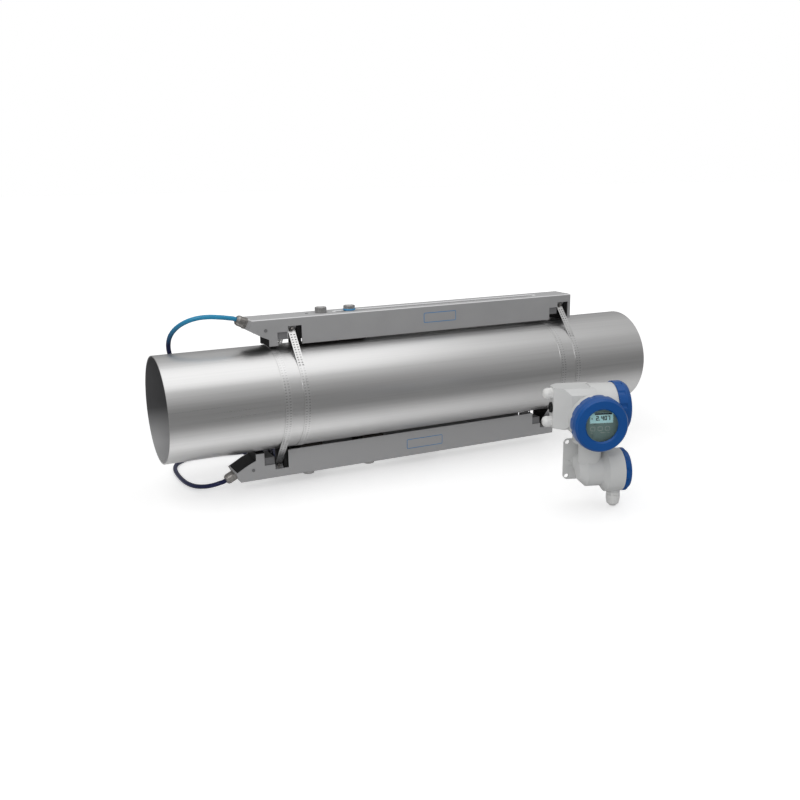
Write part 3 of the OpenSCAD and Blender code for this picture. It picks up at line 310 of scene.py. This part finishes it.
def rail_material(roof):
    # A lighter roof with a painted highlight along its edge, where the overhead light falls, and a lighter
    # lower rail, lit from the floor below: all painted light, to match the photograph's brightness
    anodised = (0.315, 0.315, 0.319)
    m = coated_metal("rail_anodised", anodised, 0.46, grain=1400.0, vary=0.035, peel=0.03)
    tree = m.node_tree
    base = tree.nodes["Principled BSDF"].inputs["Base Color"]
    upper = base.links[0].from_socket
    _, _, z = apart(tree, place(tree))
    # Painted light: the lower rail lighter, as lit from the floor below
    sides_painted_lighter_below = mix_colour(tree, spread(tree, z, 1, 0, -0.1, 0.1), upper, (0.38, 0.38, 0.385))
    # Painted light on the roof, with a painted highlight along its edge
    painted_edge_highlight = spread(tree, z, 1, 0, roof - 0.0004, roof - 0.0001)
    painted_roof_light = mix_colour(tree, painted_edge_highlight, (0.45, 0.45, 0.455), (0.78, 0.78, 0.785))
    painted_roof_mask = spread(tree, z, 0, 1, roof - 0.0022, roof - 0.0018)
    feed(tree, mix_colour(tree, painted_roof_mask, sides_painted_lighter_below, painted_roof_light), base)
    return m


def glass_material():
    m, tree, bsdf = new_material("window_clear")
    feed(tree, (0.86, 0.92, 0.93), bsdf.inputs["Base Color"])
    bsdf.inputs["Roughness"].default_value = 0.03
    bsdf.inputs["Transmission Weight"].default_value = 1.0
    bsdf.inputs["IOR"].default_value = 1.2
    bsdf.inputs["Alpha"].default_value = 0.25
    return m


def lcd_material():
    m, tree, bsdf = new_material("lcd_face")
    cells = put(tree, "ShaderNodeTexBrick")
    cells.inputs["Scale"].default_value = 700.0
    feed(tree, (0.48, 0.68, 0.68), cells.inputs["Color1"])
    feed(tree, (0.51, 0.71, 0.71), cells.inputs["Color2"])
    feed(tree, (0.42, 0.62, 0.62), cells.inputs["Mortar"])
    tree.links.new(place(tree), cells.inputs["Vector"])
    tree.links.new(cells.outputs["Color"], bsdf.inputs["Base Color"])
    bsdf.inputs["Roughness"].default_value = 0.3
    # A faint glow: painted light that lifts the display out of the window's shade
    feed(tree, (0.22, 0.60, 0.64), bsdf.inputs["Emission Color"])
    bsdf.inputs["Emission Strength"].default_value = 0.18
    return m


ENAMEL = {"vary": 0.03, "grain": 650.0, "coat": 0.25, "peel": 0.08}
BLUE_ENAMEL = {"vary": 0.05, "grain": 650.0, "coat": 0.2, "peel": 0.06, "shine": 0.25}
MATERIALS = {
    "pipe": pipe_material(),
    "rail": rail_material(top_of(NODES["upper_rail"])),
    "casting": coated_metal("clamp_casting", (0.16, 0.16, 0.165), 0.5, vary=0.08, peel=0.12),
    "black": plastic("black_moulding", (0.006, 0.006, 0.0065), 0.55, shine=0.2),
    "strap_upper": strap_material("strap_upper", STRAP_X["upper"]),
    "strap_lower": strap_material("strap_lower", STRAP_X["lower"]),
    "nickel": turned_metal("nickel_plate", (0.36, 0.345, 0.33), 0.34),
    "knob": turned_metal("knob_metal", (0.50, 0.495, 0.49), 0.34),
    "head": plastic("head_plastic", (0.035, 0.030, 0.026), 0.5, shine=0.3),
    "cable": cable_material(),
    "enamel": coated_metal("light_enamel", (0.61, 0.615, 0.61), 0.38, **ENAMEL),
    "blue": coated_metal("blue_enamel", (0.0005, 0.072, 0.29), 0.34, **BLUE_ENAMEL),
    "glass": glass_material(),
    "module": plastic("module_panel", (0.18, 0.26, 0.24), 0.45),
    "lcd": lcd_material(),
    "ink": plastic("display_ink", (0.02, 0.025, 0.03), 0.5),
    "mark": plastic("panel_mark", (0.42, 0.47, 0.44), 0.5),
    "board": plastic("circuit_board", (0.02, 0.12, 0.05), 0.4),
    "white": plastic("white_nylon", (0.72, 0.72, 0.71), 0.32),
    "seal": plastic("seal_rubber", grey(0.012), 0.6),
    "line_blue": plastic("label_blue", (0.03, 0.20, 0.46), 0.4),
    "ring_blue": plastic("knob_ring_blue", (0.05, 0.27, 0.52), 0.35),
}

# Which material each piece wears: the pieces of a rail come once above and once below
RAIL_LOOKS = {
    "rail": "rail",
    "casting": "end_cap clamp_blocks fixed_holder slide_holder rail_screws",
    "black": "nose_cover saddles",
    "head": "fixed_transducer slide_transducer",
    "knob": "fixed_knob slide_knob",
    "nickel": "strap_screw_left strap_screw_right gland_body gland_nut cable_plug",
}
OTHER_LOOKS = {
    "pipe": "pipe",
    "strap_upper": "upper_straps",
    "strap_lower": "lower_straps",
    "enamel": "main_housing sensor_box wall_bracket",
    "blue": "display_cover terminal_cover sensor_cover",
    "glass": "window_glass",
    "module": "display_module",
    "lcd": "lcd",
    "board": "electronics_module terminal_block",
    "black": "sensor_terminals blind_plug",
    "white": "gland_bodies top_gland_nut side_gland_nut bottom_gland_nut",
    "seal": "cover_seals",
    "nickel": "housing_screws",
}


def dress(looks, prefix=""):
    for look, pieces in looks.items():
        for piece in pieces.split():
            for slot in NODES[prefix + piece].material_slots:
                slot.material = MATERIALS[look]


dress(RAIL_LOOKS, "upper_")
dress(RAIL_LOOKS, "lower_")
dress(OTHER_LOOKS)

# Cables, in millimetres: out of the nose gland, down behind the pipe, round a coil on the floor
CABLE_D = 9.5
LAYER = CABLE_D + 0.5
CABLE_Z = FLOOR_MM + CABLE_D / 2
PLUG_R = 7.5
PLUG_Z = FLOOR_MM + PLUG_R
TAIL = 130.0
TAIL_LEVEL = 0.28

# Each layer of a coil has three turns, and the cable climbs between layers in half a turn
COIL_IN = 38.0
TURNS = 3
LAYERS = 4
CLIMB = 0.5
COIL_OUT = COIL_IN + TURNS * LAYER

# The glands lean outward on the noses, and each cable starts at the end of its gland's body
LEAN = math.atan(0.5)
UPPER_AXIS = Vector((-math.cos(LEAN), 0, math.sin(LEAN)))
LOWER_AXIS = Vector((-math.cos(LEAN), 0, -math.sin(LEAN)))
GLAND_BODY = 12
UPPER_EXIT = Vector((-383, 0, 158.95)) + GLAND_BODY * UPPER_AXIS
LOWER_EXIT = Vector((-424, 0, -158.95)) + GLAND_BODY * LOWER_AXIS
UPPER_COIL = (-250, 184)
LOWER_COIL = (60, 202)
UPPER_ROUTE = [
    (-418, 0, 173), (-436, 0, 176), (-459, 3, 178), (-481, 9, 176), (-501, 18, 169),
    (-517, 30, 157), (-527, 45, 140), (-529, 62, 119), (-524, 80, 95), (-513, 97, 68),
    (-499, 110, 39), (-483, 119, 8), (-466, 126, -24), (-448, 133, -57), (-428, 141, -90),
    (-405, 151, -122), (-378, 162, -150), (-348, 173, -171), (-316, 181, -183),
    (-285, 184, CABLE_Z),
]
LOWER_ROUTE = [
    (-459, 0, -173), (-470, 6, -177), (-484, 20, -182), (-499, 44, -186),
    (-509, 76, CABLE_Z), (-513, 112, CABLE_Z), (-513, 150, CABLE_Z), (-509, 186, CABLE_Z),
    (-497, 218, CABLE_Z), (-474, 240, CABLE_Z), (-442, 249, CABLE_Z), (-405, 247, CABLE_Z),
    (-360, 239, CABLE_Z), (-310, 229, CABLE_Z), (-260, 220, CABLE_Z), (-210, 213, CABLE_Z),
    (-160, 208, CABLE_Z), (-110, 205, CABLE_Z), (-60, 203, CABLE_Z), (-10, 202, CABLE_Z),
]
ROUTE_STEPS = 5
COIL_STEPS = 40
TAIL_STEPS = 24


def clamp(value):
    return max(0.0, min(1.0, value))


def smooth(points, steps):
    # A curve through all the points, with its direction at each taken from the neighbours
    out = []
    last = len(points) - 1
    for i in range(last):
        a, b = points[max(i - 1, 0)], points[i]
        c, d = points[i + 1], points[min(i + 2, last)]
        for k in range(steps):
            t = k / steps
            bend = (2 * a - 5 * b + 4 * c - d) * t * t
            twist = (3 * b - a - 3 * c + d) * t ** 3
            out.append(0.5 * (2 * b + (c - a) * t + bend + twist))
    out.append(points[-1])
    return out


def coil_points(start):
    out = []
    for i in range(TURNS * LAYERS * COIL_STEPS + 1):
        t = i / COIL_STEPS
        r = COIL_IN + LAYER * abs(t % (2 * TURNS) - TURNS)
        a = math.radians(90 - 360 * t)
        x = start[0] + r * math.cos(a)
        y = start[1] - COIL_OUT + r * math.sin(a)
        climbed = sum(clamp((t - k * TURNS + CLIMB / 2) / CLIMB) for k in range(1, LAYERS))
        out.append(Vector((x, y, CABLE_Z + LAYER * climbed)))
    return out


def tail_points(start):
    # Off the top of the coil, down to the floor, and straight into the plug
    out = []
    top = CABLE_Z + LAYER * (LAYERS - 1)
    x = start[0] + CABLE_D
    for i in range(TAIL_STEPS + 1):
        s = i / TAIL_STEPS
        u = clamp((s - TAIL_LEVEL) / (1 - TAIL_LEVEL))
        drop = u * u * (3 - 2 * u)
        out.append(Vector((x + TAIL * s, start[1], top + (PLUG_Z - top) * drop)))
    out.append(Vector((x + CABLE_D + TAIL, start[1], PLUG_Z)))
    return out


def make_cable(name, which, exit_at, axis, route, coil):
    points = [exit_at, exit_at + 1.5 * CABLE_D * axis]
    points += [Vector(p) for p in route]
    points += [Vector((coil[0] - back * CABLE_D, coil[1], CABLE_Z)) for back in (2, 1)]
    points = smooth(points, ROUTE_STEPS) + coil_points(coil) + tail_points(coil)
    data = bpy.data.curves.new(name, "CURVE")
    data.dimensions = "3D"
    data.bevel_depth = CABLE_D / 2 * MM
    data.bevel_resolution = 5
    data.use_fill_caps = True
    line = data.splines.new("POLY")
    line.points.add(len(points) - 1)
    for p, v in zip(line.points, points):
        p.co = (*(v * MM), 1.0)
    line.use_smooth = True
    obj = bpy.data.objects.new(name, data)
    bpy.context.scene.collection.objects.link(obj)
    data.materials.append(MATERIALS["cable"])
    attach(obj, ROOT)
    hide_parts(which + "_cable", which + "_cable_coil")


make_cable("cable_upper", "upper", UPPER_EXIT, UPPER_AXIS, UPPER_ROUTE, UPPER_COIL)
make_cable("cable_lower", "lower", LOWER_EXIT, LOWER_AXIS, LOWER_ROUTE, LOWER_COIL)


# Mesh helpers
def finish_mesh(name, bm, look, body, smooth_it=False):
    mesh = bpy.data.meshes.new(name)
    bmesh.ops.recalc_face_normals(bm, faces=bm.faces)
    bm.to_mesh(mesh)
    bm.free()
    for p in mesh.polygons:
        p.use_smooth = smooth_it
    mesh.materials.append(MATERIALS[look])
    obj = bpy.data.objects.new(name, mesh)
    bpy.context.scene.collection.objects.link(obj)
    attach(obj, body)


def ring_of(bm, matrix, outline, z):
    return [bm.verts.new(matrix @ Vector((x, y, z))) for x, y in outline]


def join_rings(bm, a, b):
    n = len(a)
    for k in range(n):
        bm.faces.new((a[k], a[(k + 1) % n], b[(k + 1) % n], b[k]))


def arc(x, y, r, start, turn, count):
    angles = [math.radians(start + turn * k / count) for k in range(count + 1)]
    return [(x + r * math.cos(a), y + r * math.sin(a)) for a in angles]


def lathe(bm, profile, matrix, count=40):
    rings = [ring_of(bm, matrix, arc(0, 0, r, 0, 360, count)[:-1], z) for r, z in profile]
    for a, b in zip(rings, rings[1:]):
        join_rings(bm, a, b)


def rounded_outline(w, h, r, count=6):
    out = []
    for side, level, start in ((1, 1, 0), (-1, 1, 90), (-1, -1, 180), (1, -1, 270)):
        out += arc(side * (w / 2 - r), level * (h / 2 - r), r, start, 90, count)
    return out


def frame_ring(bm, matrix, w, h, r, line, high):
    outer = rounded_outline(w, h, r)
    inner = rounded_outline(w - 2 * line, h - 2 * line, r - line)
    rings = [ring_of(bm, matrix, *row) for row in ((outer, 0), (outer, high), (inner, high), (inner, 0))]
    for a, b in zip(rings, rings[1:] + rings[:1]):
        join_rings(bm, a, b)


# Turns a flat outline upright, to face the viewer's side
FRONT = Matrix(((1, 0, 0), (0, 0, -1), (0, 1, 0))).to_4x4()

# Bare labels on the fronts of the rails: left and right end, and height of the middle
LABELS = {"upper": (0.012, 0.093, 0.143), "lower": (-0.033, 0.058, -0.141)}
RAIL_FRONT_Y = -0.0315
LABEL_H = 0.022
LABEL_R = 0.003
LABEL_LINE = 0.0012
LABEL_HIGH = 0.0004
PLATE_R = 0.002
PLATE_HIGH = 0.0003
PLATE_SUNK = -0.0001


def make_label(which):
    left, right, z = LABELS[which]
    w = right - left
    at = Matrix.Translation(((left + right) / 2, RAIL_FRONT_Y, z)) @ FRONT
    bm = bmesh.new()
    frame_ring(bm, at, w, LABEL_H, LABEL_R, LABEL_LINE, LABEL_HIGH)
    finish_mesh(which + "_label_frame", bm, "line_blue", ROOT)
    bm = bmesh.new()
    outline = rounded_outline(w - 2 * LABEL_LINE, LABEL_H - 2 * LABEL_LINE, PLATE_R)
    top = ring_of(bm, at, outline, PLATE_HIGH)
    bm.faces.new(top)
    join_rings(bm, top, ring_of(bm, at, outline, PLATE_SUNK))
    finish_mesh(which + "_label_plate", bm, "rail", ROOT)


make_label("upper")
make_label("lower")

# Light blue collar under the upper sliding knob, as radius and height
COLLAR_AT = (-0.1525, 0, 0.16825)
COLLAR = [
    (0.0122, 0.0012), (0.0130, 0.0012), (0.0132, 0.0020),
    (0.0132, 0.0042), (0.0130, 0.0048), (0.0122, 0.0048),
]
bm = bmesh.new()
lathe(bm, COLLAR, Matrix.Translation(COLLAR_AT))
finish_mesh("upper_knob_collar", bm, "ring_blue", "upper_slide_screw", True)

# Set screw in the upper rail's roof, beside the fixed knob
ROOF_SCREW_AT = (-0.250, 0, 0.16895)
ROOF_SCREW = [(0.0001, 0.0007), (0.0031, 0.0007), (0.0035, 0.0004), (0.0035, -0.0003)]
bm = bmesh.new()
lathe(bm, ROOF_SCREW, Matrix.Translation(ROOF_SCREW_AT), 24)
finish_mesh("upper_roof_screw", bm, "casting", ROOT)

# The converter's own frame: its place on the floor and how far it is turned
CONV_AT = (0.215, -0.455, FLOOR_Z)
CONV_TURN = math.radians(-19)
CONV = Matrix.Translation(CONV_AT) @ Matrix.Rotation(CONV_TURN, 4, "Z")

# Marks on the display, in millimetres in the converter's frame: from MARK_FRONT to MARK_BACK
MARK_FRONT = -77.72
MARK_BACK = -77.48
DIGIT_W = 5.0
DIGIT_H = 8.5
DIGIT_Z = 200.3
STROKE = 1.6
DIGITS = (("2", -74.7), ("4", -64.8), ("0", -58.8), ("7", -52.8))
SEGMENTS = {"0": "abcdef", "2": "abged", "4": "fgbc", "7": "abc"}

# The point, the bar above, and two small signs: left, right, bottom and top of each
SIGNS = (
    (-69.0, -67.4, DIGIT_Z, DIGIT_Z + 1.4),
    (-77.2, -44.4, 210.9, 213.8),
    (-83.0, -81.4, 202.6, 205.4),
    (-79.5, -74.4, 193.5, 194.5),
)

# Three key frames, with two short lines under them
KEYS_X = (-80.0, -66.0, -52.0)
KEYS_Z = 184.5
KEY_W = 0.009
KEY_H = 0.008
KEY_R = 0.002
KEY_LINE = 0.0007
KEY_HIGH = 0.0002
KEY_LINES = ((-65, -48, 176.5, 177.2), (-83, -76, 176.5, 177.2))


def mark_block(bm, left, right, bottom, top):
    size = (right - left, MARK_BACK - MARK_FRONT, top - bottom)
    mid = ((left + right) / 2, (MARK_FRONT + MARK_BACK) / 2, (bottom + top) / 2)
    for v in bmesh.ops.create_cube(bm, size=1.0)["verts"]:
        v.co = CONV @ (Vector([c * s + m for c, s, m in zip(v.co, size, mid)]) * MM)


def digit(bm, character, left):
    right, top, mid = left + DIGIT_W, DIGIT_Z + DIGIT_H, DIGIT_Z + DIGIT_H / 2
    spans = {
        "a": (left, right, top - STROKE, top),
        "b": (right - STROKE, right, mid, top),
        "c": (right - STROKE, right, DIGIT_Z, mid),
        "d": (left, right, DIGIT_Z, DIGIT_Z + STROKE),
        "e": (left, left + STROKE, DIGIT_Z, mid),
        "f": (left, left + STROKE, mid, top),
        "g": (left, right, mid - STROKE / 2, mid + STROKE / 2),
    }
    for segment in SEGMENTS[character]:
        mark_block(bm, *spans[segment])


bm = bmesh.new()
for character, left in DIGITS:
    digit(bm, character, left)
for sign in SIGNS:
    mark_block(bm, *sign)
finish_mesh("display_digits", bm, "ink", ROOT)

bm = bmesh.new()
for x in KEYS_X:
    at = CONV @ FRONT @ Matrix.Translation((x * MM, KEYS_Z * MM, -MARK_BACK * MM))
    frame_ring(bm, at, KEY_W, KEY_H, KEY_R, KEY_LINE, KEY_HIGH)
for line in KEY_LINES:
    mark_block(bm, *line)
finish_mesh("display_marks", bm, "mark", ROOT)

# Screws round the neck flange of the sensor box, heads down
NECK_X = -0.057
NECK_RING_R = 0.0285
NECK_SCREWS_Z = 0.137
NECK_SCREW = [(0.0024, -0.0005), (0.0024, 0.0004), (0.0023, 0.0024), (0.0018, 0.0030), (0.0001, 0.0030)]
bm = bmesh.new()
for turn in (225, 315, 45, 135):
    a = math.radians(turn)
    out = Vector((NECK_X + NECK_RING_R * math.cos(a), NECK_RING_R * math.sin(a), NECK_SCREWS_Z))
    lathe(bm, NECK_SCREW, CONV @ Matrix.Translation(out) @ Matrix.Rotation(math.pi, 4, "X"), 6)
finish_mesh("neck_screws", bm, "nickel", ROOT)


# Studio: the camera sees a white world, and reflections a gradient that the pipe's bands were fitted with
def make_world():
    world = bpy.data.worlds.new("studio")
    bpy.context.scene.world = world
    world.use_nodes = True
    tree = world.node_tree
    back = tree.nodes["Background"]
    path = put(tree, "ShaderNodeLightPath")
    coord = put(tree, "ShaderNodeTexCoord")
    _, _, z = apart(tree, coord.outputs["Generated"])
    shine = mix_colour(tree, spread(tree, z, 0.0, 1.0, 0.0, 0.85), grey(0.20), grey(0.66))
    seen = math_node(tree, "MAXIMUM", path.outputs["Is Glossy Ray"], path.outputs["Is Transmission Ray"])
    plain = mix_colour(tree, seen, grey(0.60), shine)
    feed(tree, mix_colour(tree, path.outputs["Is Camera Ray"], plain, grey(1.0)), back.inputs["Color"])
    back.inputs["Strength"].default_value = 1.0


def floor_material():
    m, tree, bsdf = new_material("studio_floor")
    bsdf.inputs["Roughness"].default_value = 0.35
    bsdf.inputs["Specular IOR Level"].default_value = 0.35
    path = put(tree, "ShaderNodeLightPath")
    coord = put(tree, "ShaderNodeTexCoord")
    x, y, _ = apart(tree, coord.outputs["Object"])
    aside = size_of(tree, y)

    # The camera sees the floor turn white with distance, and keep the shadow near the object
    lift = spread(tree, hypotenuse(tree, x, y), 0.48, 0.80, 0.7, 3.0)
    to_camera = product(tree, path.outputs["Is Camera Ray"], lift)

    # For reflections alone, the floor is pale near the pipe and darker further off: fitted, not seen
    far = spread(tree, aside, 0, 1, 0.13, 0.42)
    pale = mix_colour(tree, far, grey(0.95), grey(0.27))
    base = mix_colour(tree, path.outputs["Is Glossy Ray"], grey(0.74), pale)
    feed(tree, base, bsdf.inputs["Base Color"])

    # A band of light for reflections alone, fitted to the bands on the photographed pipe's left part
    outward = spread(tree, aside, 0, 1, 0.07, 0.12)
    fading = spread(tree, aside, 0.3, 0, 0.13, 0.26)
    leftward = spread(tree, x, 1, 0, -0.2, 0.4)
    to_gloss = product(tree, path.outputs["Is Glossy Ray"], product(tree, outward, fading, leftward))
    glow = put(tree, "ShaderNodeEmission")
    feed(tree, math_node(tree, "MAXIMUM", to_camera, to_gloss), glow.inputs["Strength"])
    both = put(tree, "ShaderNodeAddShader")
    tree.links.new(bsdf.outputs[0], both.inputs[0])
    tree.links.new(glow.outputs[0], both.inputs[1])
    tree.links.new(both.outputs[0], tree.nodes["Material Output"].inputs["Surface"])
    return m


# Half the floor's side, and how far the floor lies under the object
FLOOR_HALF = 30.0
FLOOR_GAP = 0.0002


def make_floor():
    bm = bmesh.new()
    bmesh.ops.create_grid(bm, x_segments=1, y_segments=1, size=FLOOR_HALF)
    mesh = bpy.data.meshes.new("floor")
    bm.to_mesh(mesh)
    bm.free()
    mesh.materials.append(floor_material())
    floor = bpy.data.objects.new("floor", mesh)
    floor.location = (0, 0, FLOOR_Z - FLOOR_GAP)
    bpy.context.scene.collection.objects.link(floor)


def area(name, at, target, size, power):
    data = bpy.data.lights.new(name, "AREA")
    data.shape = "RECTANGLE"
    data.size, data.size_y = size
    data.energy = power
    lamp = bpy.data.objects.new(name, data)
    lamp.location = at
    lamp.rotation_euler = (Vector(target) - Vector(at)).to_track_quat("-Z", "Y").to_euler()
    bpy.context.scene.collection.objects.link(lamp)


make_world()
make_floor()
area("overhead", at=(-0.4, -0.55, 2.2), target=(-0.4, -0.3, 0), size=(3.2, 2.3), power=17.5)
area("key", at=(-1.9, -2.2, 1.6), target=(0, 0, 0), size=(1.2, 1.2), power=18)
bpy.context.scene.view_settings.view_transform = "Standard"
